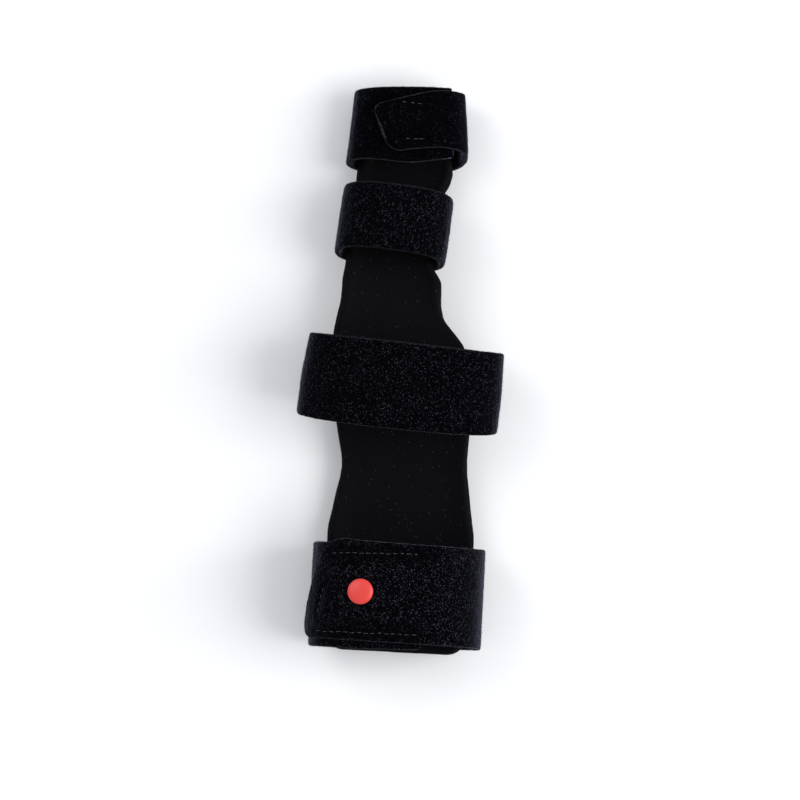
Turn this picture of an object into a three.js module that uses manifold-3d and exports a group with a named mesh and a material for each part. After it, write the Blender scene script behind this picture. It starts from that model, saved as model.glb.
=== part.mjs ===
// A finger splint for a right hand: a padded palmar shell that lies under the wrist, the palm and
// two fingers, and four soft straps that stay closed round it in the shape that they were worn in.
// Millimetres. The splint lies on its palmar side: +Z is up, +Y runs from the wrist to the
// fingertips, and +X points to the little finger's side.
import * as THREE from "three";
import { mergeVertices } from "three/addons/utils/BufferGeometryUtils.js";
import Module from "manifold-3d";

// Driving dimensions
const clearance = 0.35; // between a strap and what it lies on
const strapThickness = 2.5;

const shellLength = 229.5;
const shellThickness = 4.5;
const wristCorner = 9; // corner radii of the shell's two ends
const tipCorner = 5.5;
const endRound = 1.8; // length over which the padded edges thin out
const archHeight = 13; // rise of the shell from the wrist to the knuckles
const handOffset = -3.8; // middle of the palm, of the two fingers and of their tips, from the wrist's
const fingerOffset = -7.4;
const tipOffset = -5;

const wristHollow = 63; // widths of the hollow that the hand lies in
const handHollow = 75;
const fingerHollow = 40;
const tipHollow = 43;
const endHollow = 38.4;
const wristDepth = 15; // height of the widest line of that hollow above its floor
const handDepth = 15;
const fingerDepth = 9;
const floorFlat = 0.4; // share of the hollow's width that is flat at its floor
const floorPower = 2.5; // of the curve from the floor to the widest line
const skewStart = 0.8; // share of the shell's length from which it turns with the fingertip strap

const buttonDiameter = 10;
const buttonHeight = 2.1;
const buttonRim = 0.8; // height of the cap's upright rim
const postDiameter = 3.2; // of the button's post in the strap
const buttonAcross = -13.3; // place on the wrist strap, from its middle
const buttonAlong = 0.5;

// Sections of the hollow that the hand lies in. at is a share of the shell's length, deep the height
// of the widest line over the floor, and shift the place of the middle.
const hollows = [
  { at: 0.0, width: wristHollow, deep: wristDepth, shift: 0 },
  { at: 0.1, width: wristHollow, deep: wristDepth, shift: 0 },
  { at: 0.19, width: wristHollow, deep: wristDepth, shift: 0 },
  { at: 0.26, width: 0.9 * handHollow, deep: handDepth, shift: 0.15 * handOffset },
  { at: 0.34, width: 0.97 * handHollow, deep: handDepth, shift: 0.7 * handOffset },
  { at: 0.4, width: handHollow, deep: handDepth, shift: handOffset },
  { at: 0.47, width: handHollow, deep: handDepth, shift: 0.72 * handOffset },
  { at: 0.54, width: 0.965 * handHollow, deep: handDepth, shift: 0.42 * handOffset },
  { at: 0.58, width: 0.82 * handHollow, deep: 0.8 * handDepth, shift: 0.6 * fingerOffset },
  { at: 0.615, width: 1.12 * fingerHollow, deep: 1.1 * fingerDepth, shift: 1.15 * fingerOffset },
  { at: 0.648, width: 1.09 * fingerHollow, deep: fingerDepth, shift: 1.22 * fingerOffset },
  { at: 0.672, width: 0.98 * fingerHollow, deep: fingerDepth, shift: 1.36 * fingerOffset },
  { at: 0.74, width: 0.99 * fingerHollow, deep: fingerDepth, shift: 1.18 * fingerOffset },
  { at: 0.808, width: 0.98 * fingerHollow, deep: fingerDepth, shift: fingerOffset },
  { at: 0.835, width: 1.1 * fingerHollow, deep: fingerDepth, shift: 0.74 * fingerOffset },
  { at: 0.88, width: tipHollow, deep: fingerDepth, shift: tipOffset },
  { at: 1.0, width: endHollow, deep: 0.9 * fingerDepth, shift: 1.13 * tipOffset },
];

// Sections of the shell. left and right are its edges, as shares of half the hollow's width, and
// rise is the height of its underside, as a share of the arch.
const shellSections = [
  { at: 0.0, left: -0.95, right: 0.97, rise: 0 },
  { at: 0.1, left: -0.96, right: 0.98, rise: 0 },
  { at: 0.2, left: -0.96, right: 0.98, rise: 0 },
  { at: 0.26, left: -0.82, right: 0.87, rise: 0.14 },
  { at: 0.34, left: -0.63, right: 0.79, rise: 0.38 },
  { at: 0.4, left: -0.66, right: 0.81, rise: 0.61 },
  { at: 0.47, left: -0.78, right: 0.77, rise: 0.83 },
  { at: 0.54, left: -0.84, right: 0.66, rise: 0.98 },
  { at: 0.58, left: -0.86, right: 0.6, rise: 1 },
  { at: 0.615, left: -0.94, right: 0.93, rise: 0.96 },
  { at: 0.648, left: -0.94, right: 0.98, rise: 0.9 },
  { at: 0.672, left: -0.95, right: 0.955, rise: 0.82 },
  { at: 0.74, left: -0.955, right: 0.955, rise: 0.57 },
  { at: 0.808, left: -0.95, right: 0.95, rise: 0.32 },
  { at: 0.835, left: -0.95, right: 0.93, rise: 0.235 },
  { at: 0.88, left: -0.94, right: 0.86, rise: 0.12 },
  { at: 1.0, left: -0.97, right: 0.88, rise: 0 },
];

// Straps. station is the middle of the strap along the shell, height the height inside its loop,
// power the squareness of the loop's top and turn its skew in degrees.
const wristStrap = { station: 0.1 * shellLength, width: 39, height: 42, power: 2.9, turn: 0 };
const handStrap = { station: 0.4745 * shellLength, width: 29.5, height: 31, power: 2.4, turn: -2.9 };
const fingerStrap = { station: 0.7365 * shellLength, width: 27, height: 20.5, power: 2.7, turn: -4.5 };
const tipStrap = { station: 0.914 * shellLength, width: 29.5, height: 18, power: 2.8, turn: 2.5 };

// The two straps that lap over their own end. They start on top, at start to the right of the
// middle, go once round to the left and lap over it as far as end to the left of the middle; ramp is
// the length over which they climb on to their own end. The end is cut at a slant, and rounded.
const wristLap = { start: 10, end: 34, ramp: 14, slant: 16, cornerLow: 9, cornerHigh: 6 };
const tipLap = { start: 17.3, end: 10.7, ramp: 5.5, slant: -8, cornerLow: 4, cornerHigh: 4 };

// Their borders along the way, as shares of half the strap's width.
const wristBorders = [
  { at: 0, low: -1.08, high: 1 },
  { at: 0.12, low: -1.12, high: 1 },
  { at: 0.5, low: -1.08, high: 1 },
  { at: 0.8, low: -0.97, high: 1.02 },
  { at: 1, low: -0.95, high: 1.09 },
];
const tipBorders = [
  { at: 0, low: -0.93, high: 1.14 },
  { at: 0.12, low: -1.12, high: 1.14 },
  { at: 0.27, low: -0.98, high: 1.13 },
  { at: 0.62, low: -0.96, high: 1.05 },
  { at: 0.74, low: -0.78, high: 1.0 },
  { at: 0.82, low: -0.64, high: 1.02 },
  { at: 0.9, low: -0.75, high: 0.9 },
  { at: 1, low: -0.84, high: 0.66 },
];

// Fineness of the meshes
const columnStep = 3.4; // along a strap
const closedRows = [0, 0.5, 1]; // across a closed strap, as shares of its width
const lappedRows = [0, 0.03, 0.12, 0.3, 0.5, 0.7, 0.88, 0.97, 1];
const pathSteps = 30; // of each quarter of the curve that a strap's length is measured on
const shellSpan = 5; // along the shell
const shellColumns = 16; // across the shell
const domeRings = 6;
const capSides = 24;
const holeSides = 12;
const probe = 0.05; // small distance over which slopes are measured

const shellCloth = new THREE.MeshStandardMaterial({ color: 0x08080c, roughness: 0.92, metalness: 0 });
const strapCloth = new THREE.MeshStandardMaterial({ color: 0x0a0a0f, roughness: 0.95, metalness: 0 });
const redPlastic = new THREE.MeshStandardMaterial({ color: 0xe04a40, roughness: 0.35, metalness: 0 });

// A smooth reading of a table at a place between its rows, level wherever the table turns.
function read(rows, place, value) {
  const last = rows.length - 1;
  const found = rows.findIndex((row) => row.at >= place);
  const i = found < 0 ? last - 1 : Math.max(found - 1, 0);
  const rate = (k) => (value(rows[k + 1]) - value(rows[k])) / (rows[k + 1].at - rows[k].at);
  const slope = (k) => {
    if (k === 0 || k === last) return rate(Math.min(k, last - 1));
    return rate(k - 1) * rate(k) > 0 ? (2 * rate(k - 1) * rate(k)) / (rate(k - 1) + rate(k)) : 0;
  };
  const span = rows[i + 1].at - rows[i].at;
  const f = THREE.MathUtils.clamp((place - rows[i].at) / span, 0, 1);
  const [p, q] = [value(rows[i]), value(rows[i + 1])];
  const [m, n] = [slope(i) * span, slope(i + 1) * span];
  return p + f * (m + f * (3 * (q - p) - 2 * m - n + f * (2 * (p - q) + m + n)));
}

// The hollow and the shell's edges at a distance y from the wrist end.
function hollowAt(y) {
  const at = y / shellLength;
  const floor = (place) => archHeight * read(shellSections, place / shellLength, (row) => row.rise);
  const centre = read(hollows, at, (row) => row.shift);
  const half = read(hollows, at, (row) => row.width) / 2;
  return {
    centre,
    half,
    deep: read(hollows, at, (row) => row.deep),
    left: centre + half * read(shellSections, at, (row) => row.left),
    right: centre + half * read(shellSections, at, (row) => row.right),
    floor: floor(y),
    slope: Math.atan((floor(y + probe) - floor(y - probe)) / (2 * probe)),
  };
}

const normalAt = (slope) => new THREE.Vector3(0, -Math.sin(slope), Math.cos(slope));

// Height of the hollow's curved floor above its lowest line.
function floorRise(hollow, x) {
  const flat = floorFlat * hollow.half;
  const out = Math.max(Math.abs(x - hollow.centre) - flat, 0) / (hollow.half - flat);
  return hollow.deep * (1 - (1 - Math.min(out, 1) ** floorPower) ** (1 / floorPower));
}

// How far a round corner draws back an edge that is a distance away from it.
function cornerInset(distance, radius) {
  if (distance >= radius) return 0;
  return radius - Math.sqrt(radius ** 2 - (radius - distance) ** 2);
}

// A closed mesh between an outer and an inner grid of points, which runs round where it is a loop.
function slab(outer, inner, loop) {
  const columns = outer.length;
  const rows = outer[0].length;
  const at = (side, i, j) => (side * columns + (i % columns)) * rows + j;
  const faces = [];
  const quad = (a, b, c, d) => faces.push(a, b, c, a, c, d);
  for (let i = 0; i < (loop ? columns : columns - 1); i++) {
    for (let j = 0; j < rows - 1; j++) {
      quad(at(0, i, j), at(0, i, j + 1), at(0, i + 1, j + 1), at(0, i + 1, j));
      quad(at(1, i, j), at(1, i + 1, j), at(1, i + 1, j + 1), at(1, i, j + 1));
    }
    quad(at(0, i, 0), at(0, i + 1, 0), at(1, i + 1, 0), at(1, i, 0));
    quad(at(0, i, rows - 1), at(1, i, rows - 1), at(1, i + 1, rows - 1), at(0, i + 1, rows - 1));
  }
  for (let j = 0; j < rows - 1 && !loop; j++) {
    const end = columns - 1;
    quad(at(0, 0, j), at(1, 0, j), at(1, 0, j + 1), at(0, 0, j + 1));
    quad(at(0, end, j), at(0, end, j + 1), at(1, end, j + 1), at(1, end, j));
  }
  return new THREE.BufferGeometry().setFromPoints([...outer.flat(), ...inner.flat()]).setIndex(faces);
}

// The padded shell, lofted through sections across it from the wrist end to the fingertip end.
function shellGeometry() {
  const cornerShares = [0.02, 0.08, 0.2, 0.4, 0.7, 1];
  const inside = shellLength - wristCorner - tipCorner;
  const spans = Math.round(inside / shellSpan);
  const places = [
    0,
    ...cornerShares.map((share) => share * wristCorner),
    ...Array.from({ length: spans - 1 }, (_, k) => wristCorner + (inside * (k + 1)) / spans),
    ...cornerShares.map((share) => shellLength - share * tipCorner).reverse(),
    shellLength,
  ];
  const [under, over] = [[], []];
  for (const y of places) {
    const hollow = hollowAt(y);
    const cut = cornerInset(y, wristCorner) + cornerInset(shellLength - y, tipCorner);
    const endShare = padded(Math.min(y, shellLength - y));
    const skewShare = THREE.MathUtils.smoothstep(y, skewStart * shellLength, shellLength);
    const skew = skewShare * Math.tan(THREE.MathUtils.degToRad(tipStrap.turn));
    const [low, high] = [[], []];
    for (let k = 0; k <= shellColumns; k++) {
      const share = (1 - Math.cos((Math.PI * k) / shellColumns)) / 2;
      const x = THREE.MathUtils.lerp(hollow.left + cut, hollow.right - cut, share);
      const edgeShare = padded(Math.min(x - hollow.left - cut, hollow.right - cut - x));
      const half = (shellThickness * endShare * edgeShare) / 2;
      const place = y + skew * (x - hollow.centre);
      const floor = hollowAt(place);
      const up = normalAt(floor.slope);
      const climb = (floorRise(floor, x + probe) - floorRise(floor, x - probe)) / (2 * probe);
      const across = up.clone().sub(new THREE.Vector3(climb, 0, 0)).normalize();
      const face = new THREE.Vector3(x, place, floor.floor).addScaledVector(up, floorRise(floor, x));
      low.push(face.clone().addScaledVector(across, shellThickness / 2 - half));
      high.push(face.clone().addScaledVector(across, shellThickness / 2 + half));
    }
    under.push(low);
    over.push(high);
  }
  return slab(over, under, false);
}

// The share of its thickness that the shell keeps at a distance from its edge.
function padded(distance) {
  const near = Math.min(Math.max(distance, 0) / endRound, 1);
  return 0.45 + 0.55 * Math.sqrt(1 - (1 - near) ** 2);
}

// A point of the loop's inner surface. turn runs from 0 to 4: 0 is the middle of the top, 1 the
// widest line on the left, 2 the middle of the floor, and 3 the widest line on the right. across is
// the distance from the strap's middle, towards the fingertips.
function loopPoint(strap, turn, across) {
  const phase = turn < 2 ? turn : 4 - turn;
  const side = turn < 2 ? -1 : 1;
  const angle = ((phase < 1 ? phase : 2 - phase) * Math.PI) / 2;
  const power = phase < 1 ? strap.power : floorPower;
  const out = Math.sin(angle) ** (2 / power);
  const rise = Math.cos(angle) ** (2 / power);
  const flat = phase < 1 ? 0 : floorFlat * Math.min(angle / (0.25 * Math.PI), 1);
  const reach = side * (flat + (1 - (phase < 1 ? 0 : floorFlat)) * out);
  const middle = hollowAt(strap.station + across);
  const skew = Math.tan(THREE.MathUtils.degToRad(strap.turn));
  const y = strap.station + across + skew * reach * middle.half;
  const hollow = hollowAt(y);
  const point = new THREE.Vector3(hollow.centre + reach * hollow.half, y, hollow.floor);
  if (phase >= 1) return point.addScaledVector(normalAt(hollow.slope), floorRise(hollow, point.x));
  const top = strap.height - hollow.deep;
  point.addScaledVector(normalAt(hollow.slope), hollow.deep);
  return point.addScaledVector(normalAt(middle.slope), top * rise);
}

// A strap's path: its length, and the turn at each distance from the middle of the top.
function measurePath(strap) {
  const turns = Array.from({ length: 4 * pathSteps + 1 }, (_, k) => k / pathSteps);
  const lengths = [0];
  for (let k = 1; k < turns.length; k++) {
    const step = loopPoint(strap, turns[k], 0).distanceTo(loopPoint(strap, turns[k - 1], 0));
    lengths.push(lengths[k - 1] + step);
  }
  const length = lengths.at(-1);
  const turnAt = (distance) => {
    const d = THREE.MathUtils.euclideanModulo(distance, length);
    const k = Math.min(Math.max(lengths.findIndex((l) => l > d), 1), turns.length - 1);
    return turns[k - 1] + ((d - lengths[k - 1]) / (lengths[k] - lengths[k - 1])) / pathSteps;
  };
  return { length, turnAt };
}

// A point at a height over the loop's inner surface.
function strapPoint(strap, path, distance, across, height) {
  const point = loopPoint(strap, path.turnAt(distance), across);
  const ahead = loopPoint(strap, path.turnAt(distance + probe), across);
  ahead.sub(loopPoint(strap, path.turnAt(distance - probe), across));
  const aside = loopPoint(strap, path.turnAt(distance), across + probe).sub(point);
  return point.addScaledVector(ahead.cross(aside).negate().normalize(), height);
}

// A strap that is closed all round.
function closedStrap(strap) {
  const path = measurePath(strap);
  const columns = Math.round(path.length / columnStep);
  const grid = (height) =>
    Array.from({ length: columns }, (_, i) =>
      closedRows.map((share) =>
        strapPoint(strap, path, (i * path.length) / columns, (share - 0.5) * strap.width, height),
      ),
    );
  return slab(grid(clearance + strapThickness), grid(clearance), true);
}

// A strap that laps over its own end.
function lappedStrap(strap, lap, borders) {
  const path = measurePath(strap);
  const step = path.length / Math.round(path.length / columnStep);
  const total = path.length + lap.start + lap.end;
  const reserve = Math.abs(lap.slant) / 2 + Math.max(lap.cornerLow, lap.cornerHigh);
  const even = Math.floor((total - reserve) / step);
  const taper = Math.round((total - even * step) / step);
  const climbEnd = path.length - step / 2;
  const grid = (height) =>
    Array.from({ length: even + taper + 1 }, (_, i) =>
      lappedRows.map((share) => {
        const place = Math.min(i * step, total) / total;
        const low = (read(borders, place, (row) => row.low) * strap.width) / 2;
        const high = (read(borders, place, (row) => row.high) * strap.width) / 2;
        const drawn =
          cornerInset(share * (high - low), lap.cornerLow) +
          cornerInset((1 - share) * (high - low), lap.cornerHigh);
        const rowEnd = total + lap.slant * (0.5 - share) - drawn;
        const along =
          i <= even ? i * step : THREE.MathUtils.lerp(even * step, rowEnd, (i - even) / taper);
        const climb = THREE.MathUtils.smoothstep(along, climbEnd - lap.ramp, climbEnd);
        const across = THREE.MathUtils.lerp(low, high, share);
        const lift = climb * (strapThickness + clearance);
        return strapPoint(strap, path, along - lap.start, across, height + lift);
      }),
    );
  return slab(grid(clearance + strapThickness), grid(clearance), false);
}

// The button's cap and post, from the post's foot upwards, with the cap's seat at height 0.
function buttonGeometry() {
  const cap = buttonDiameter / 2;
  const post = postDiameter / 2;
  const foot = -strapThickness - clearance / 2;
  const dome = Array.from({ length: domeRings }, (_, k) => {
    const angle = ((k + 1) / domeRings) * (Math.PI / 2);
    const rise = (buttonHeight - buttonRim) * Math.sin(angle);
    return new THREE.Vector2(k === domeRings - 1 ? 0 : cap * Math.cos(angle), buttonRim + rise);
  });
  const profile = [
    new THREE.Vector2(0, foot),
    new THREE.Vector2(post, foot),
    new THREE.Vector2(post, 0),
    new THREE.Vector2(cap - clearance, 0),
    new THREE.Vector2(cap, clearance),
    new THREE.Vector2(cap, buttonRim),
    ...dome,
  ];
  return new THREE.LatheGeometry(profile, capSides).rotateX(Math.PI / 2);
}

// Where the button sits on the wrist strap: its place, and the way it stands.
function buttonSeat() {
  const path = measurePath(wristStrap);
  const outer = 2 * (clearance + strapThickness);
  const seat = strapPoint(wristStrap, path, -buttonAcross, buttonAlong, outer + clearance);
  const above = strapPoint(wristStrap, path, -buttonAcross, buttonAlong, outer + 2 * clearance);
  const stand = new THREE.Quaternion().setFromUnitVectors(
    new THREE.Vector3(0, 0, 1),
    above.sub(seat).normalize(),
  );
  return { seat, stand };
}

const wasm = await Module();
wasm.setup();

function toSolid(geometry) {
  const bare = geometry.clone();
  bare.deleteAttribute("normal");
  bare.deleteAttribute("uv");
  const merged = mergeVertices(bare, 1e-4);
  const vertProperties = new Float32Array(merged.attributes.position.array);
  const triVerts = new Uint32Array(merged.index.array);
  return new wasm.Manifold(new wasm.Mesh({ numProp: 3, vertProperties, triVerts }));
}

function toGeometry(solid) {
  const mesh = solid.getMesh();
  const geometry = new THREE.BufferGeometry();
  geometry.setAttribute("position", new THREE.BufferAttribute(mesh.vertProperties, 3));
  return geometry.setIndex(new THREE.BufferAttribute(mesh.triVerts, 1));
}

// The wrist strap, with a hole for the button's post through its outer layer.
function wristStrapGeometry({ seat, stand }) {
  const bore = postDiameter / 2 + clearance;
  const top = clearance;
  const foot = -1.5 * clearance - strapThickness;
  const drill = new THREE.CylinderGeometry(bore, bore, top - foot, holeSides).rotateX(Math.PI / 2);
  drill.translate(0, 0, (top + foot) / 2);
  drill.applyQuaternion(stand).translate(seat.x, seat.y, seat.z);
  const strap = toSolid(lappedStrap(wristStrap, wristLap, wristBorders));
  return toGeometry(strap.subtract(toSolid(drill)));
}

function addPiece(group, name, geometry, material) {
  const piece = new THREE.Mesh(geometry, material);
  piece.name = name;
  group.add(piece);
  return piece;
}

const splint = new THREE.Group();
const button = buttonSeat();
addPiece(splint, "palmar_shell", shellGeometry(), shellCloth);
addPiece(splint, "wrist_strap", wristStrapGeometry(button), strapCloth);
addPiece(splint, "hand_strap", closedStrap(handStrap), strapCloth);
addPiece(splint, "finger_strap", closedStrap(fingerStrap), strapCloth);
addPiece(splint, "fingertip_strap", lappedStrap(tipStrap, tipLap, tipBorders), strapCloth);
const cap = addPiece(splint, "button_cap", buttonGeometry(), redPlastic);
cap.position.copy(button.seat);
cap.quaternion.copy(button.stand);

// The origin is the middle of the underside of the whole.
splint.updateMatrixWorld(true);
const box = new THREE.Box3().setFromObject(splint, true);
const middle = box.getCenter(new THREE.Vector3());
splint.position.set(-middle.x, -middle.y, -box.min.z);

export default splint;
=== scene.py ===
import math
import random

import bmesh
import bpy
from mathutils import Matrix, Vector, noise
from mathutils.bvhtree import BVHTree


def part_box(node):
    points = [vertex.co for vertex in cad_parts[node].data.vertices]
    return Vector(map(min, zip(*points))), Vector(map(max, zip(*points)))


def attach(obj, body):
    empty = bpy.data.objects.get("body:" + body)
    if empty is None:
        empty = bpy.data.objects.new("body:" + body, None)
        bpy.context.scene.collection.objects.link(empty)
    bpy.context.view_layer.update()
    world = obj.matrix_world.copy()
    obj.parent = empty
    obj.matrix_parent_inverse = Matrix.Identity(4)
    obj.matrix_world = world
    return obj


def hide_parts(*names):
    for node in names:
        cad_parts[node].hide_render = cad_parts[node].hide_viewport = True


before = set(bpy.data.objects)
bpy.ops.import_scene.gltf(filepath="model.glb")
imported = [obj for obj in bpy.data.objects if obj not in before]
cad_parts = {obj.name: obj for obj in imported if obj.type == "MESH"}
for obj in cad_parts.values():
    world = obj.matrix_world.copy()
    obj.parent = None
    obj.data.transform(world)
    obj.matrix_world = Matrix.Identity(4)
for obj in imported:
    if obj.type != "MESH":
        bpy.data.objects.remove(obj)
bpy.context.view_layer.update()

mm = 0.001
scene = bpy.context.scene
scene.view_settings.view_transform = "Standard"


def linear(hexColour):
    parts = [int(hexColour[i:i + 2], 16) / 255 for i in (1, 3, 5)]
    curved = [c / 12.92 if c <= 0.04045 else ((c + 0.055) / 1.055) ** 2.4 for c in parts]
    return (*curved, 1.0)


def newMaterial(name):
    material = bpy.data.materials.new(name)
    material.use_nodes = True
    material.node_tree.nodes.clear()
    return material


def addNode(material, kind, settings=None, links=None):
    tree = material.node_tree
    node = tree.nodes.new(kind)
    for key, value in (settings or {}).items():
        if isinstance(key, int) or key in node.inputs:
            node.inputs[key].default_value = value
        else:
            setattr(node, key, value)
    for key, source in (links or {}).items():
        tree.links.new(source, node.inputs[key])
    return node


# Velour: nylon loop pile, knitted and brushed. It swallows the light; the loops' tips that catch it
# are painted into its colour as fine grey specks, a painted glint, and where it turns away from the
# eye the pile shows a faint blue-grey sheen.
velourLook = {
    "pile": "#000001",
    "dust": "#060609",
    "paintedGlint": "#52525c",
    "speckSpacing": 0.5,  # mm between the loops that catch the light
    "speckSize": 0.18,  # mm
    "speckBlur": (1.25, 0.5),  # where a speck begins and where it is full, in shares of its size
    "speckShare": 0.76,  # of the loops
    "speckRamp": 0.15,  # between the loops that are unlit and those that are lit
    "speckFade": 2.2,  # power of the dimming: most of the specks are dim and a few are bright
    "patchSize": 14,  # mm, over which the pile lies one way
    "patchPull": 0.6,  # how much the patches sway which loops are lit
    "tuftSize": 0.55,  # mm
    "sheenTint": "#b4b9d0",
    "sheen": 0.55,
    "sheenSpread": 0.3,
}


def velourMaterial(name, look):
    material = newMaterial(name)
    place = addNode(material, "ShaderNodeTexCoord").outputs["Object"]
    loops = addNode(
        material, "ShaderNodeTexVoronoi",
        {"Scale": 1 / (look["speckSpacing"] * mm), "Randomness": 1.0}, {"Vector": place},
    )
    reach = look["speckSize"] / look["speckSpacing"]
    begin, full = look["speckBlur"]
    spot = addNode(
        material, "ShaderNodeMapRange",
        {"interpolation_type": "SMOOTHSTEP", "From Min": reach * begin, "From Max": reach * full},
        {"Value": loops.outputs["Distance"]},
    ).outputs["Result"]
    own = addNode(material, "ShaderNodeSeparateColor", None, {"Color": loops.outputs["Color"]})
    patches = addNode(
        material, "ShaderNodeTexNoise",
        {"Scale": 1 / (look["patchSize"] * mm), "Detail": 2.0}, {"Vector": place},
    ).outputs["Fac"]
    chance = addNode(
        material, "ShaderNodeMath", {"operation": "MULTIPLY_ADD", 1: look["patchPull"]},
        {0: patches, 2: own.outputs["Red"]},
    ).outputs["Value"]
    unlit = look["patchPull"] / 2 + 1 - look["speckShare"]
    lit = addNode(
        material, "ShaderNodeMapRange", {"From Min": unlit, "From Max": unlit + look["speckRamp"]},
        {"Value": chance},
    ).outputs["Result"]
    bright = addNode(
        material, "ShaderNodeMath", {"operation": "POWER", 1: look["speckFade"]},
        {0: own.outputs["Green"]},
    ).outputs["Value"]
    shown = addNode(
        material, "ShaderNodeMath", {"operation": "MULTIPLY"}, {0: lit, 1: spot},
    ).outputs["Value"]
    loose = addNode(material, "ShaderNodeAttribute", {"attribute_name": "loose"}).outputs["Fac"]
    standing = addNode(
        material, "ShaderNodeMath", {"operation": "MULTIPLY"}, {0: bright, 1: loose},
    ).outputs["Value"]
    paintedGlint = addNode(
        material, "ShaderNodeMath", {"operation": "MULTIPLY"}, {0: shown, 1: standing},
    ).outputs["Value"]
    tufts = addNode(
        material, "ShaderNodeTexNoise",
        {"Scale": 1 / (look["tuftSize"] * mm), "Detail": 3.0, "Roughness": 0.7},
        {"Vector": place},
    ).outputs["Fac"]
    pile = addNode(
        material, "ShaderNodeMix",
        {"data_type": "RGBA", 6: linear(look["pile"]), 7: linear(look["dust"])}, {0: tufts},
    ).outputs[2]
    # painted glint: lighter grey specks mixed into the pile's colour where a loop's tip would catch
    # the light
    colour = addNode(
        material, "ShaderNodeMix",
        {"data_type": "RGBA", 7: linear(look["paintedGlint"])}, {0: paintedGlint, 6: pile},
    ).outputs[2]
    bump = addNode(
        material, "ShaderNodeBump", {"Strength": 0.9, "Distance": 0.25 * mm}, {"Height": tufts},
    ).outputs["Normal"]
    shader = addNode(
        material, "ShaderNodeBsdfPrincipled",
        {
            "Roughness": 0.95, "IOR": 1.53, "Specular IOR Level": 0.0,
            "Sheen Weight": look["sheen"], "Sheen Roughness": look["sheenSpread"],
            "Sheen Tint": linear(look["sheenTint"]),
        },
        {"Base Color": colour, "Normal": bump},
    ).outputs["BSDF"]
    addNode(material, "ShaderNodeOutputMaterial", None, {"Surface": shader})
    return material


# Nap: single nylon fibres that stand off the pile. They blur the strap's outline, and where the cloth
# turns away from the eye they close up; the lighter tip colour that a noise gives some of them is a
# painted grey sheen.
napSheenLook = {"root": "#020203", "tip": "#42424d", "change": 0.6}


def napMaterial(name, look):
    material = newMaterial(name)
    place = addNode(material, "ShaderNodeTexCoord").outputs["Object"]
    fibre = addNode(
        material, "ShaderNodeTexNoise",
        {"Scale": 1 / (look["change"] * mm), "Detail": 2.0}, {"Vector": place},
    ).outputs["Fac"]
    share = addNode(
        material, "ShaderNodeMapRange", {"From Min": 0.4, "From Max": 0.7}, {"Value": fibre},
    ).outputs["Result"]
    # painted sheen: a noise mixes each fibre between the dark root colour and the lighter tip colour
    colour = addNode(
        material, "ShaderNodeMix",
        {"data_type": "RGBA", 6: linear(look["root"]), 7: linear(look["tip"])}, {0: share},
    ).outputs[2]
    shader = addNode(
        material, "ShaderNodeBsdfPrincipled",
        {"Roughness": 0.7, "IOR": 1.53, "Specular IOR Level": 0.03}, {"Base Color": colour},
    ).outputs["BSDF"]
    addNode(material, "ShaderNodeOutputMaterial", None, {"Surface": shader})
    return material


# Cut edge: the strap's foam core between two faces of pile, sliced open. A dull dark grey line, a
# little lighter than the pile, with the cut loops' fluff in it.
edgeLook = {"core": "#08080b", "fluff": "#34343c", "grain": 0.5}


def cutEdgeMaterial(name, look):
    material = newMaterial(name)
    place = addNode(material, "ShaderNodeTexCoord").outputs["Object"]
    grain = addNode(
        material, "ShaderNodeTexNoise",
        {"Scale": 1 / (look["grain"] * mm), "Detail": 4.0, "Roughness": 0.75}, {"Vector": place},
    ).outputs["Fac"]
    fluff = addNode(
        material, "ShaderNodeMapRange", {"From Min": 0.48, "From Max": 0.68}, {"Value": grain},
    ).outputs["Result"]
    colour = addNode(
        material, "ShaderNodeMix",
        {"data_type": "RGBA", 6: linear(look["core"]), 7: linear(look["fluff"])}, {0: fluff},
    ).outputs[2]
    bump = addNode(
        material, "ShaderNodeBump", {"Strength": 0.8, "Distance": 0.2 * mm}, {"Height": grain},
    ).outputs["Normal"]
    shader = addNode(
        material, "ShaderNodeBsdfPrincipled",
        {"Roughness": 0.95, "IOR": 1.5, "Specular IOR Level": 0.05},
        {"Base Color": colour, "Normal": bump},
    ).outputs["BSDF"]
    addNode(material, "ShaderNodeOutputMaterial", None, {"Surface": shader})
    return material


# Polyester jersey laminated on foam: a matt black warp knit with fine ribs along its length. Its low
# parts are painted darker, a painted shade.
jerseyLook = {
    "yarn": "#050508",
    "gap": "#010102",
    "lint": "#33333b",
    "rib": 1.1,  # mm between ribs
    "course": 0.8,  # mm between courses
    "lintSpacing": 2.4,  # mm
    "sheenTint": "#8088a8",
}


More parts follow.
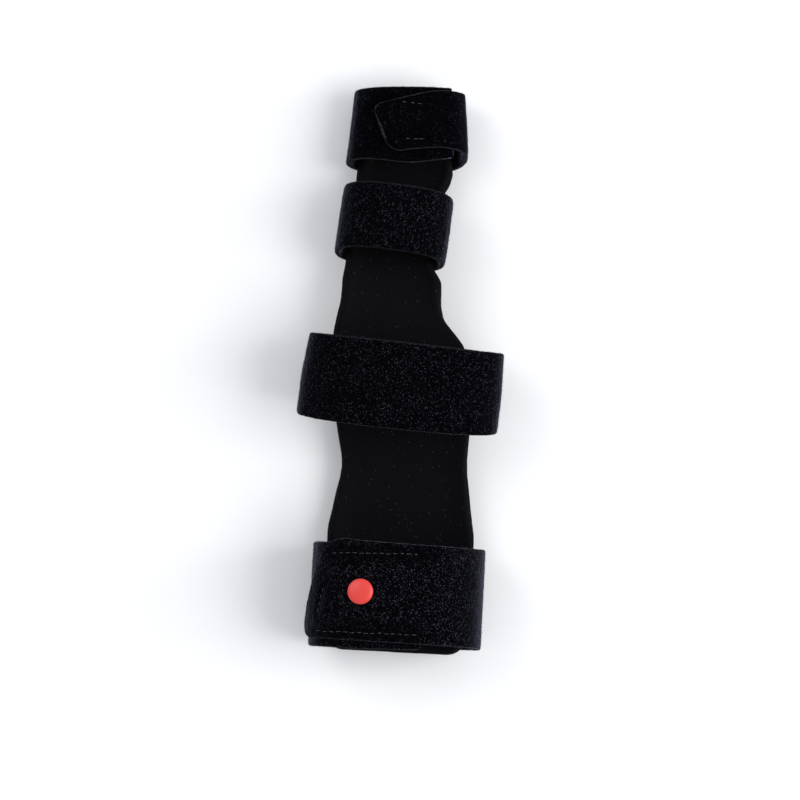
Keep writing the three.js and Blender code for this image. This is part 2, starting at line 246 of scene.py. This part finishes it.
def jerseyMaterial(name, look, middle):
    material = newMaterial(name)
    place = addNode(material, "ShaderNodeTexCoord").outputs["Object"]
    axes = addNode(material, "ShaderNodeSeparateXYZ", None, {"Vector": place})
    fromMiddle = addNode(
        material, "ShaderNodeMath", {"operation": "SUBTRACT", 1: middle}, {0: axes.outputs["X"]},
    ).outputs["Value"]
    sideways = addNode(
        material, "ShaderNodeMath", {"operation": "ABSOLUTE"}, {0: fromMiddle},
    ).outputs["Value"]
    girth = addNode(
        material, "ShaderNodeMath", {"operation": "ADD"}, {0: sideways, 1: axes.outputs["Z"]},
    ).outputs["Value"]  # grows evenly over the floor and up the sides
    ribs = addNode(
        material, "ShaderNodeMath", {"operation": "MULTIPLY", 1: 2 * math.pi / (look["rib"] * mm)},
        {0: girth},
    ).outputs["Value"]
    courses = addNode(
        material, "ShaderNodeMath",
        {"operation": "MULTIPLY", 1: 2 * math.pi / (look["course"] * mm)},
        {0: axes.outputs["Y"]},
    ).outputs["Value"]
    ribWave = addNode(material, "ShaderNodeMath", {"operation": "SINE"}, {0: ribs}).outputs["Value"]
    courseWave = addNode(
        material, "ShaderNodeMath", {"operation": "SINE"}, {0: courses},
    ).outputs["Value"]
    knit = addNode(
        material, "ShaderNodeMath", {"operation": "MULTIPLY_ADD", 1: 0.5}, {0: courseWave, 2: ribWave},
    ).outputs["Value"]
    height = addNode(
        material, "ShaderNodeMapRange", {"From Min": -1.5, "From Max": 1.5}, {"Value": knit},
    ).outputs["Result"]
    lint = addNode(
        material, "ShaderNodeTexVoronoi",
        {"Scale": 1 / (look["lintSpacing"] * mm), "Randomness": 1.0}, {"Vector": place},
    ).outputs["Distance"]
    lintShare = addNode(
        material, "ShaderNodeMapRange", {"From Min": 0.12, "From Max": 0.05}, {"Value": lint},
    ).outputs["Result"]
    # painted shade: the knit's low parts take the darker gap colour, the high parts the yarn colour
    yarn = addNode(
        material, "ShaderNodeMix",
        {"data_type": "RGBA", 6: linear(look["gap"]), 7: linear(look["yarn"])}, {0: height},
    ).outputs[2]
    colour = addNode(
        material, "ShaderNodeMix",
        {"data_type": "RGBA", 7: linear(look["lint"])}, {0: lintShare, 6: yarn},
    ).outputs[2]
    bump = addNode(
        material, "ShaderNodeBump", {"Strength": 0.7, "Distance": 0.2 * mm}, {"Height": height},
    ).outputs["Normal"]
    shader = addNode(
        material, "ShaderNodeBsdfPrincipled",
        {
            "Roughness": 0.85, "IOR": 1.55, "Specular IOR Level": 0.08,
            "Sheen Weight": 0.03, "Sheen Tint": linear(look["sheenTint"]),
        },
        {"Base Color": colour, "Normal": bump},
    ).outputs["BSDF"]
    addNode(material, "ShaderNodeOutputMaterial", None, {"Surface": shader})
    return material


# Acetal: injection-moulded button cap, bright red and glossy with a trace of orange peel.
acetalLook = {"red": "#d53b33", "peel": 0.9, "roughness": 0.36}


def acetalMaterial(name, look):
    material = newMaterial(name)
    place = addNode(material, "ShaderNodeTexCoord").outputs["Object"]
    peel = addNode(
        material, "ShaderNodeTexNoise",
        {"Scale": 1 / (look["peel"] * mm), "Detail": 2.0}, {"Vector": place},
    ).outputs["Fac"]
    rough = addNode(
        material, "ShaderNodeMapRange",
        {"To Min": look["roughness"] - 0.05, "To Max": look["roughness"] + 0.07}, {"Value": peel},
    ).outputs["Result"]
    bump = addNode(
        material, "ShaderNodeBump", {"Strength": 0.12, "Distance": 0.05 * mm}, {"Height": peel},
    ).outputs["Normal"]
    shader = addNode(
        material, "ShaderNodeBsdfPrincipled",
        {
            "Base Color": linear(look["red"]), "IOR": 1.48,
            "Subsurface Weight": 0.12, "Subsurface Scale": 1.2 * mm,
        },
        {"Roughness": rough, "Normal": bump},
    ).outputs["BSDF"]
    addNode(material, "ShaderNodeOutputMaterial", None, {"Surface": shader})
    return material


# Polyester thread: twisted and lightly waxed. Bands along the twist run from a shade colour to grey, a
# painted shade and a painted gleam on each stitch.
threadLook = {"grey": "#5e5e68", "shade": "#1d1d23", "twist": 0.9}


def threadMaterial(name, look):
    material = newMaterial(name)
    place = addNode(material, "ShaderNodeTexCoord").outputs["Object"]
    twist = addNode(
        material, "ShaderNodeTexWave",
        {"Scale": 1 / (look["twist"] * mm) / 3, "Distortion": 1.5, "bands_direction": "DIAGONAL"},
        {"Vector": place},
    ).outputs["Fac"]
    # painted shade and gleam: the twist's bands mix the shade colour and the grey
    colour = addNode(
        material, "ShaderNodeMix",
        {"data_type": "RGBA", 6: linear(look["shade"]), 7: linear(look["grey"])}, {0: twist},
    ).outputs[2]
    shader = addNode(
        material, "ShaderNodeBsdfPrincipled",
        {"Roughness": 0.55, "IOR": 1.55, "Specular IOR Level": 0.3}, {"Base Color": colour},
    ).outputs["BSDF"]
    addNode(material, "ShaderNodeOutputMaterial", None, {"Surface": shader})
    return material


def addObject(name, mesh, *materials):
    piece = bpy.data.objects.new(name, mesh)
    scene.collection.objects.link(piece)
    for material in materials:
        mesh.materials.append(material)
    return piece


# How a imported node's loose triangles are put together again.
joining = {"gap": 0.002, "bend": 40, "skew": 75}  # mm, degrees, degrees


def mergedNode(node):
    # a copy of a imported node, with its triangles merged and paired into the quads of its grid
    work = bmesh.new()
    work.from_mesh(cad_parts[node].data)
    for face in work.faces:
        face.material_index = 0
    bmesh.ops.remove_doubles(work, verts=work.verts, dist=joining["gap"] * mm)
    bmesh.ops.join_triangles(
        work, faces=work.faces,
        angle_face_threshold=math.radians(joining["bend"]),
        angle_shape_threshold=math.radians(joining["skew"]),
    )
    return work


def sharpEdges(work, degrees):
    limit = math.radians(degrees)
    return [e for e in work.edges if len(e.link_faces) == 2 and e.calc_face_angle() > limit]


def markCutEdges(work, sharp):
    # a strap's rim is one face wide, between two sharp edges that share no corner
    crisp = set(sharp)
    for face in work.faces:
        own = [e for e in face.edges if e in crisp]
        if len(own) == 2 and not set(own[0].verts) & set(own[1].verts):
            face.material_index = 1


def splitAcross(work, longest):
    # halves what is longer than a cell until the grid is even
    while True:
        slow = [e for e in work.edges if e.calc_length() > longest]
        if not slow:
            return
        bmesh.ops.subdivide_edges(work, edges=slow, cuts=1, use_grid_fill=True)


def smoothMesh(work, name, levels):
    mesh = bpy.data.meshes.new(name)
    work.to_mesh(mesh)
    work.free()
    rough = bpy.data.objects.new(name, mesh)
    scene.collection.objects.link(rough)
    modifier = rough.modifiers.new("smooth", "SUBSURF")
    modifier.levels = modifier.render_levels = levels
    graph = bpy.context.evaluated_depsgraph_get()
    fine = bpy.data.meshes.new_from_object(rough.evaluated_get(graph))
    bpy.data.objects.remove(rough)
    fine.name = name
    return fine


def inRange(value, low, high):
    share = min(max((value - low) / (high - low), 0), 1)
    return share * share * (3 - 2 * share)


def distanceToSeam(point, seams):
    nearest = 1.0
    for start, end in seams:
        along = end - start
        share = max(0, min(1, (point - start).dot(along) / along.length_squared))
        nearest = min(nearest, (point - start - along * share).length)
    return nearest


# Relief shared by the four straps. Lengths in mm.
pileRelief = {
    "cell": 4.2,  # longest side of the grid before it is smoothed
    "bevel": 0.45,
    "astray": 0.15,  # off the strap, from which a corner of the bevel is a fault
    "tuft": 0.8,
    "tuftHeight": 0.15,
    "clump": 3.2,
    "clumpHeight": 0.1,
    "seamDepth": 0.45,
    "seamWidth": 1.1,
    "pressed": 3.4,  # round a seam, where the pile lies flat and shows no specks
    "pressedShare": 0.8,  # of the specks that are gone on the seam itself
    "sharp": 55,  # degrees between two faces from which their edge is a cut one
    "levels": 2,  # of smoothing
    "outer": 0.35,  # share of a face's turn outwards from which it takes the finer grid
    "upper": 0.3,  # share of a face's turn upwards from which it lies on top
    "calmInside": 0.35,  # share of the relief that the inner side keeps
    "inside": (-0.3, 0.5),  # turn outwards over which the relief grows to the outer side's
    "flatRounds": 30,  # of smoothing round the button
}


def outwards(point, axis):
    out = point - axis
    out.y = 0
    return out.normalized()


def soundCorners(vert, astray):
    others = [e.other_vert(vert) for e in vert.link_edges]
    return [other.co for other in others if other not in astray]


def strapPiece(node, name, materials, seams=(), post=None):
    work = mergedNode(node)
    markCutEdges(work, sharpEdges(work, pileRelief["sharp"]))
    splitAcross(work, pileRelief["cell"] * mm)
    plain = BVHTree.FromBMesh(work)
    bmesh.ops.bevel(
        work, geom=sharpEdges(work, pileRelief["sharp"]), offset=pileRelief["bevel"] * mm,
        offset_type="OFFSET", affect="EDGES", segments=1, profile=0.5, material=-1,
        clamp_overlap=False,
    )
    # where a side is shorter than the bevel, the bevel's corner is drawn back between its neighbours
    work.verts.index_update()
    astray = {v for v in work.verts if plain.find_nearest(v.co)[3] > pileRelief["astray"] * mm}
    while astray:
        # the one with the most sound neighbours goes first, and of equals the first in the mesh
        vert = max(astray, key=lambda v: (len(soundCorners(v, astray)), -v.index))
        sound = soundCorners(vert, astray)
        vert.co = sum(sound, Vector()) / len(sound)
        astray.remove(vert)
    mesh = smoothMesh(work, name, pileRelief["levels"])
    # the outer side takes a finer grid, for its pile
    low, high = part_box(node)
    axis = (low + high) / 2
    work = bmesh.new()
    work.from_mesh(mesh)
    outer = set()
    for face in work.faces:
        if face.normal.dot(outwards(face.calc_center_median(), axis)) > pileRelief["outer"]:
            outer.add(face)
    edges = [e for e in work.edges if outer.intersection(e.link_faces)]
    bmesh.ops.subdivide_edges(work, edges=edges, cuts=1, use_grid_fill=True, smooth=0.0)
    if post:
        # the cloth round the hole for the button's post lies as flat as the rest
        middle, hole, reach = post
        near = []
        for vert in work.verts:
            gap = (vert.co.xy - middle.xy).length
            if vert.normal.z > pileRelief["upper"] and hole < gap < reach:
                near.append(vert)
        for _ in range(pileRelief["flatRounds"]):
            bmesh.ops.smooth_vert(
                work, verts=near, factor=0.5, use_axis_x=True, use_axis_y=True, use_axis_z=True,
            )
    work.normal_update()
    tuft, clump = pileRelief["tuft"] * mm, pileRelief["clump"] * mm
    calm = pileRelief["calmInside"]
    moves = []
    loose = work.verts.layers.float.new("loose")
    for vert in work.verts:
        vert[loose] = 1
        facing = inRange(vert.normal.dot(outwards(vert.co, axis)), *pileRelief["inside"])
        fine = noise.noise(vert.co / tuft) * pileRelief["tuftHeight"]
        broad = noise.noise(vert.co / clump) * pileRelief["clumpHeight"]
        push = (fine + broad) * (calm + (1 - calm) * facing)
        if seams and vert.normal.z > pileRelief["upper"]:
            gap = distanceToSeam(Vector((vert.co.x, vert.co.y)), seams) / mm
            push -= pileRelief["seamDepth"] * math.exp(-((gap / pileRelief["seamWidth"]) ** 2))
            pressed = math.exp(-((gap / pileRelief["pressed"]) ** 2))
            vert[loose] = 1 - pileRelief["pressedShare"] * pressed
        moves.append(vert.normal * (push * mm))
    for vert, move in zip(work.verts, moves):
        vert.co += move
    bmesh.ops.triangulate(work, faces=[f for f in work.faces if len(f.verts) > 4])
    work.to_mesh(mesh)
    work.free()
    mesh.shade_smooth()
    piece = addObject(name, mesh, *materials)
    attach(piece, "root")
    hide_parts(node)
    return piece


# Nap: short fibres on the outer side of a strap. Lengths in mm.
nap = {
    "perArea": 2.2,  # fibres to the square millimetre
    "length": 0.75,
    "width": 0.07,
    "lean": 0.9,  # sideways, as a share of upwards
    "free": 1.5,  # room that a fibre needs in front of it
    "offFloor": 1.2,
    "outer": 0.1,  # share of a face's turn outwards from which it has nap
    "under": -0.6,  # share of a face's turn upwards below which it has none
    "start": 0.05,  # above the pile, where the look for room begins
    "shortest": 0.4,  # share of the length
    "seed": 5,
}


def napPiece(name, strap, node, material, keepOff=None):
    chance = random.Random(nap["seed"])
    tree = BVHTree.FromObject(strap, bpy.context.evaluated_depsgraph_get())
    low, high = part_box(node)
    axis = (low + high) / 2
    verts, faces = [], []
    for face in strap.data.polygons:
        up = face.normal.copy()
        hidden = face.material_index == 0 and up.dot(outwards(face.center, axis)) < nap["outer"]
        if hidden or up.z < nap["under"] or face.center.z < nap["offFloor"] * mm:
            continue
        wanted = face.area / mm ** 2 * nap["perArea"]
        count = int(wanted) + (chance.random() < wanted % 1)
        corners = [strap.data.vertices[k].co for k in face.vertices]
        for _ in range(count):
            shares = [chance.random() for _ in corners]
            foot = sum((c * s for c, s in zip(corners, shares)), Vector()) / sum(shares)
            if keepOff and (foot.xy - keepOff[0].xy).length < keepOff[1]:
                continue
            if tree.ray_cast(foot + up * nap["start"] * mm, up, nap["free"] * mm)[0]:
                continue
            aside = Vector([chance.uniform(-1, 1) for _ in range(3)]) * nap["lean"]
            tall = nap["length"] * mm * chance.uniform(nap["shortest"], 1)
            point = foot + (up + aside).normalized() * tall
            first = up.orthogonal().normalized() * (nap["width"] * mm / 2)
            second = up.cross(first)
            base = len(verts)
            verts += [foot + first, foot - first / 2 + second, foot - first / 2 - second, point]
            faces += [(base, base + 1, base + 3), (base + 1, base + 2, base + 3)]
            faces += [(base + 2, base, base + 3), (base, base + 2, base + 1)]
    mesh = bpy.data.meshes.new(name)
    mesh.from_pydata([tuple(v) for v in verts], [], faces)
    piece = addObject(name, mesh, material)
    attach(piece, "root")
    return piece


# Stitches: the thread of the seams on a tab. Lengths in mm.
stitch = {
    "length": 2.1,
    "shortest": 0.7,  # share of the length
    "pitch": 2.7,
    "thickness": 0.2,
    "sunk": 0.05,
    "stray": 0.16,  # off the seam's line
    "seed": 3,
}


def stitchRows(name, strap, rows, material):
    tree = BVHTree.FromObject(strap, bpy.context.evaluated_depsgraph_get())
    work = bmesh.new()
    chance = random.Random(stitch["seed"])
    for start, end in rows:
        count = max(1, round((end - start).length / (stitch["pitch"] * mm)))
        for k in range(count):
            stray = Vector((chance.uniform(-1, 1), chance.uniform(-1, 1))) * (stitch["stray"] * mm)
            middle = start.lerp(end, (k + 0.5) / count) + stray
            half = stitch["length"] * mm / 2 * chance.uniform(stitch["shortest"], 1)
            along = (end - start).normalized() * half
            ends = []
            for flat in (middle - along, middle + along):
                hit = tree.ray_cast(Vector((flat.x, flat.y, 1)), Vector((0, 0, -1)))
                ends.append(hit[0])
            run = ends[1] - ends[0]
            lift = Vector((0, 0, (stitch["thickness"] / 2 - stitch["sunk"]) * mm))
            turn = run.to_track_quat("X", "Z").to_matrix().to_4x4()
            radius = stitch["thickness"] * mm / 2
            size = Matrix.Diagonal((run.length / 2, radius, radius, 1))
            place = Matrix.Translation((ends[0] + ends[1]) / 2 + lift)
            bmesh.ops.create_uvsphere(
                work, u_segments=10, v_segments=8, radius=1, matrix=place @ turn @ size,
            )
    mesh = bpy.data.meshes.new(name)
    work.to_mesh(mesh)
    work.free()
    mesh.shade_smooth()
    piece = addObject(name, mesh, material)
    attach(piece, "root")
    return piece


def seamLines(pairs, origin):
    return [(origin + Vector(a) * mm, origin + Vector(b) * mm) for a, b in pairs]


velour = velourMaterial("loopVelour", velourLook)
softLook = {**velourLook, "speckShare": 0.62, "paintedGlint": "#4a4a53"}  # hand strap and finger strap: a darker copy of the velour, with fewer and dimmer painted glints
softVelour = velourMaterial("loopVelourSoft", softLook)
quietLook = {**velourLook, "speckShare": 0.25, "paintedGlint": "#44444d"}  # fingertip strap: a darker copy of the velour, with few and dim painted glints
quietVelour = velourMaterial("loopVelourQuiet", quietLook)
napFibre = napMaterial("napFibre", napSheenLook)
cutEdge = cutEdgeMaterial("cutEdge", edgeLook)
paleSheenLook = {**edgeLook, "core": "#141419", "fluff": "#4c4c56"}  # fingertip strap: a paler copy of the cut edge, a painted sheen on its rim
paleSheenEdge = cutEdgeMaterial("paleSheenCutEdge", paleSheenLook)
shellLow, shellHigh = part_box("palmar_shell")
jersey = jerseyMaterial("warpKnitJersey", jerseyLook, (shellLow.x + shellHigh.x) / 2)
acetal = acetalMaterial("mouldedAcetal", acetalLook)
thread = threadMaterial("polyesterThread", threadLook)
print("materials made")

# Wrist strap. Its tab is sewn on three sides, and the seams are measured from the button.
# Lengths in mm.
wrist = {
    "width": 39,
    "length": 223,
    "topSeam": ((-12.2, 14.5), (22.1, 15.7)),
    "foot": ((-17.2, -16.3), (22.9, -15.8)),
    "endSeam": ((-14.4, 1.5), (-17.0, -9.5)),
    "hole": 2.6,
    "flatRound": 11,  # round the button
    "bald": 4.6,  # under the button
}
buttonLow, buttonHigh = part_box("button_cap")
buttonMiddle = (buttonLow + buttonHigh) / 2
wristSeams = seamLines([wrist["topSeam"], wrist["foot"], wrist["endSeam"]], buttonMiddle.xy)
wristVelour = strapPiece(
    "wrist_strap", "wristVelour", (velour, cutEdge), wristSeams,
    (buttonMiddle, wrist["hole"] * mm, wrist["flatRound"] * mm),
)
wristNap = napPiece(
    "wristNap", wristVelour, "wrist_strap", napFibre, (buttonMiddle, wrist["bald"] * mm),
)
wristStitches = stitchRows("wristStitches", wristVelour, wristSeams, thread)
print("wrist strap made")

# Hand strap and finger strap. Each is a plain closed band. Lengths in mm.
handVelour = strapPiece("hand_strap", "handVelour", (softVelour, cutEdge))
handNap = napPiece("handNap", handVelour, "hand_strap", napFibre)
fingerVelour = strapPiece("finger_strap", "fingerVelour", (softVelour, cutEdge))
fingerNap = napPiece("fingerNap", fingerVelour, "finger_strap", napFibre)
print("hand strap and finger strap made")

# Fingertip strap. Its tab's seams are shorter, and its cut edge is painted pale all round the tab, a
# painted sheen on the rim.
# Lengths in mm; the seams are measured from the middle of the frame.
tip = {
    "width": 29.5,
    "length": 131.5,
    "topSeam": ((-5.6, 105.8), (3.7, 105.1)),
    "foot": ((-3.2, 90.6), (4.9, 91.0)),
}
tipSeams = seamLines([tip["topSeam"], tip["foot"]], Vector((0, 0)))
tipVelour = strapPiece("fingertip_strap", "tipVelour", (quietVelour, paleSheenEdge), tipSeams)
tipNap = napPiece("tipNap", tipVelour, "fingertip_strap", napFibre)
tipStitches = stitchRows("tipStitches", tipVelour, tipSeams, thread)
print("fingertip strap made")

# Palmar shell. Lengths in mm.
shell = {
    "cell": 5,  # longest side of the grid before it is smoothed
    "levels": 2,  # of smoothing
    "puckerSize": 9,
    "puckerHeight": 0.16,
    "grain": 1.6,
    "grainHeight": 0.05,
}


def shellPiece(node, name, material):
    work = mergedNode(node)
    splitAcross(work, shell["cell"] * mm)
    mesh = smoothMesh(work, name, shell["levels"])
    work = bmesh.new()
    work.from_mesh(mesh)
    moves = []
    for vert in work.verts:
        push = noise.noise(vert.co / (shell["puckerSize"] * mm)) * shell["puckerHeight"]
        push += noise.noise(vert.co / (shell["grain"] * mm)) * shell["grainHeight"]
        moves.append(vert.normal * (push * mm))
    for vert, move in zip(work.verts, moves):
        vert.co += move
    work.to_mesh(mesh)
    work.free()
    mesh.shade_smooth()
    piece = addObject(name, mesh, material)
    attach(piece, "root")
    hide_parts(node)


shellPiece("palmar_shell", "shellPad", jersey)
print("palmar shell made")

# Button: a domed cap on a post. Lengths in mm, heights above the cap's seat.
button = {
    "radius": 5,
    "postRadius": 1.6,
    "rim": 0.8,
    "height": 2.1,
    "foot": -2.675,
    "edge": 0.35,
    "edgeSteps": 4,
    "bulge": 0.9,  # power of the dome's curve: under 1 it is fuller than an ellipse
    "sides": 96,
    "rings": 14,
    "poleEdges": 12,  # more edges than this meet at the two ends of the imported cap's axis
}


def buttonPiece(node, name, material):
    source = mergedNode(node)
    poles = [v for v in source.verts if len(v.link_edges) > button["poleEdges"]]
    poles.sort(key=lambda v: v.co.z)
    foot, top = poles[0].co.copy(), poles[-1].co.copy()
    source.free()
    axis = (top - foot).normalized()
    seat = foot - axis * (button["foot"] * mm)
    profile = [(0, button["foot"]), (button["postRadius"], button["foot"])]
    profile += [(button["postRadius"], 0), (button["radius"] - button["edge"], 0)]
    for k in range(1, button["edgeSteps"] + 1):
        angle = k / button["edgeSteps"] * math.pi / 2
        profile.append((
            button["radius"] - button["edge"] * (1 - math.sin(angle)),
            button["edge"] * (1 - math.cos(angle)),
        ))
    for k in range(button["rings"] + 1):
        angle = k / button["rings"] * math.pi / 2
        profile.append((
            button["radius"] * math.cos(angle) ** button["bulge"],
            button["rim"] + (button["height"] - button["rim"]) * math.sin(angle),
        ))
    work = bmesh.new()
    verts = [work.verts.new((r * mm, 0, z * mm)) for r, z in profile]
    for a, b in zip(verts, verts[1:]):
        work.edges.new((a, b))
    bmesh.ops.spin(
        work, geom=work.verts[:] + work.edges[:], axis=(0, 0, 1), cent=(0, 0, 0),
        steps=button["sides"], angle=2 * math.pi, use_merge=True,
    )
    bmesh.ops.remove_doubles(work, verts=work.verts, dist=0.001 * mm)
    bmesh.ops.recalc_face_normals(work, faces=work.faces)
    turn = Vector((0, 0, 1)).rotation_difference(axis).to_matrix().to_4x4()
    bmesh.ops.transform(work, matrix=Matrix.Translation(seat) @ turn, verts=work.verts)
    mesh = bpy.data.meshes.new(name)
    work.to_mesh(mesh)
    work.free()
    mesh.shade_smooth()
    piece = addObject(name, mesh, material)
    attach(piece, "root")
    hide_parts(node)


buttonPiece("button_cap", "buttonCap", acetal)
print("button made")

# Studio: a pale matt floor, three soft lights and a bright room. Lengths in metres.
studio = {
    "floor": "#f2f2f2",
    "floorSize": 6.0,
    "tooth": 0.0011,  # of the paper
    "room": "#f7f9ff",
    "roomLight": 0.7,
    "lights": {
        "keyLight": {"place": (0.85, -0.15, 0.95), "aim": (0, 0, 0.02), "width": 0.9, "power": 9},
        "fillLight": {"place": (-0.8, 0.35, 0.9), "aim": (0, 0, 0.02), "width": 0.9, "power": 4},
        "rakingLight": {"place": (1.1, 0.1, 0.3), "aim": (0, 0, 0.03), "width": 0.5, "power": 5},
    },
}


def floorMaterial():
    material = newMaterial("mattPaper")
    place = addNode(material, "ShaderNodeTexCoord").outputs["Object"]
    tooth = addNode(
        material, "ShaderNodeTexNoise",
        {"Scale": 1 / studio["tooth"], "Detail": 3.0}, {"Vector": place},
    ).outputs["Fac"]
    bump = addNode(
        material, "ShaderNodeBump", {"Strength": 0.05, "Distance": 0.05 * mm}, {"Height": tooth},
    ).outputs["Normal"]
    shader = addNode(
        material, "ShaderNodeBsdfPrincipled",
        {"Base Color": linear(studio["floor"]), "Roughness": 0.9, "Specular IOR Level": 0.2},
        {"Normal": bump},
    ).outputs["BSDF"]
    addNode(material, "ShaderNodeOutputMaterial", None, {"Surface": shader})
    return material


work = bmesh.new()
bmesh.ops.create_grid(work, x_segments=1, y_segments=1, size=studio["floorSize"] / 2)
floorMesh = bpy.data.meshes.new("paperFloor")
work.to_mesh(floorMesh)
work.free()
addObject("paperFloor", floorMesh, floorMaterial())

world = bpy.data.worlds.new("room")
world.use_nodes = True
background = world.node_tree.nodes["Background"]
background.inputs["Color"].default_value = linear(studio["room"])
background.inputs["Strength"].default_value = studio["roomLight"]
scene.world = world


def addSoftLight(name, light):
    place, aim = Vector(light["place"]), Vector(light["aim"])
    data = bpy.data.lights.new(name, "AREA")
    data.shape = "DISK"
    data.size = light["width"]
    data.energy = light["power"]
    lamp = bpy.data.objects.new(name, data)
    scene.collection.objects.link(lamp)
    lamp.location = place
    lamp.rotation_mode = "QUATERNION"
    lamp.rotation_quaternion = (aim - place).to_track_quat("-Z", "Y")


for lightName, light in studio["lights"].items():
    addSoftLight(lightName, light)

# Camera: it stands over the straps, a little to the wrist strap's side, and is rolled a little.
# It is placed so that the middle of the button's top comes out at the named pixel. Lengths in mm.
view = {
    "elevation": 86,  # degrees
    "roll": 3,  # degrees
    "distance": 1200,
    "lens": 138.78,
    "sensor": 36,
    "frame": 800,  # pixels
    "buttonPixel": (360.3, 591.4),
    "near": 50,
    "far": 20000,
}


def addCamera():
    data = bpy.data.cameras.new("camera")
    data.lens = view["lens"]
    data.sensor_width = view["sensor"]
    data.clip_start = view["near"] * mm
    data.clip_end = view["far"] * mm
    camera = bpy.data.objects.new("camera", data)
    scene.collection.objects.link(camera)
    rise, roll = math.radians(view["elevation"]), math.radians(view["roll"])
    ahead = Vector((0, math.cos(rise), -math.sin(rise)))
    level = Vector((1, 0, 0))
    above = level.cross(ahead)
    right = level * math.cos(roll) + above * math.sin(roll)
    up = above * math.cos(roll) - level * math.sin(roll)
    low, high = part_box("button_cap")
    anchor = Vector(((low.x + high.x) / 2, (low.y + high.y) / 2, high.z))
    pixel = view["distance"] * mm * view["sensor"] / view["lens"] / view["frame"]
    aside = (view["buttonPixel"][0] - view["frame"] / 2) * pixel
    below = (view["frame"] / 2 - view["buttonPixel"][1]) * pixel
    place = anchor - ahead * (view["distance"] * mm) - right * aside - up * below
    turn = Matrix((right, up, -ahead)).transposed()
    camera.matrix_world = Matrix.Translation(place) @ turn.to_4x4()
    scene.camera = camera


addCamera()
print("studio made")
